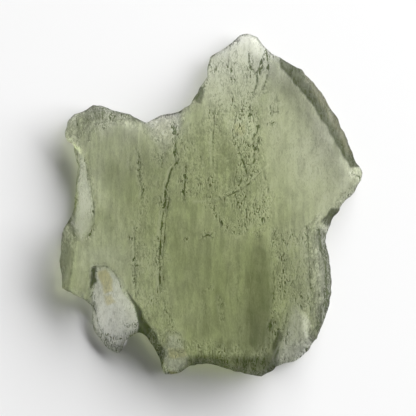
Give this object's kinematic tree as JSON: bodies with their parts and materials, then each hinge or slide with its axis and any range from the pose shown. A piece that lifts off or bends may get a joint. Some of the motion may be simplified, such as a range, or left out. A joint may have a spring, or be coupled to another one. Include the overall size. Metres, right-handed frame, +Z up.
{
  "type": "moldavite",
  "caption": "Flat shard of natural green glass with an etched, grooved skin and a chipped edge; it lies on its flatter side.",
  "frame": {"origin": "on the ground under the middle of the stone's bounding box", "axes": "+Y runs to the stone's peak, +X to its right corner, +Z points up from the side that it lies on"},
  "size_m": [0.0336, 0.038, 0.0054],
  "materials": {
    "green_glass": "see-through olive green glass, etched to a satin skin with fine flow lines"
  },
  "bodies": {
    "root": {"moldavite": "green_glass"}
  },
  "joints": []
}
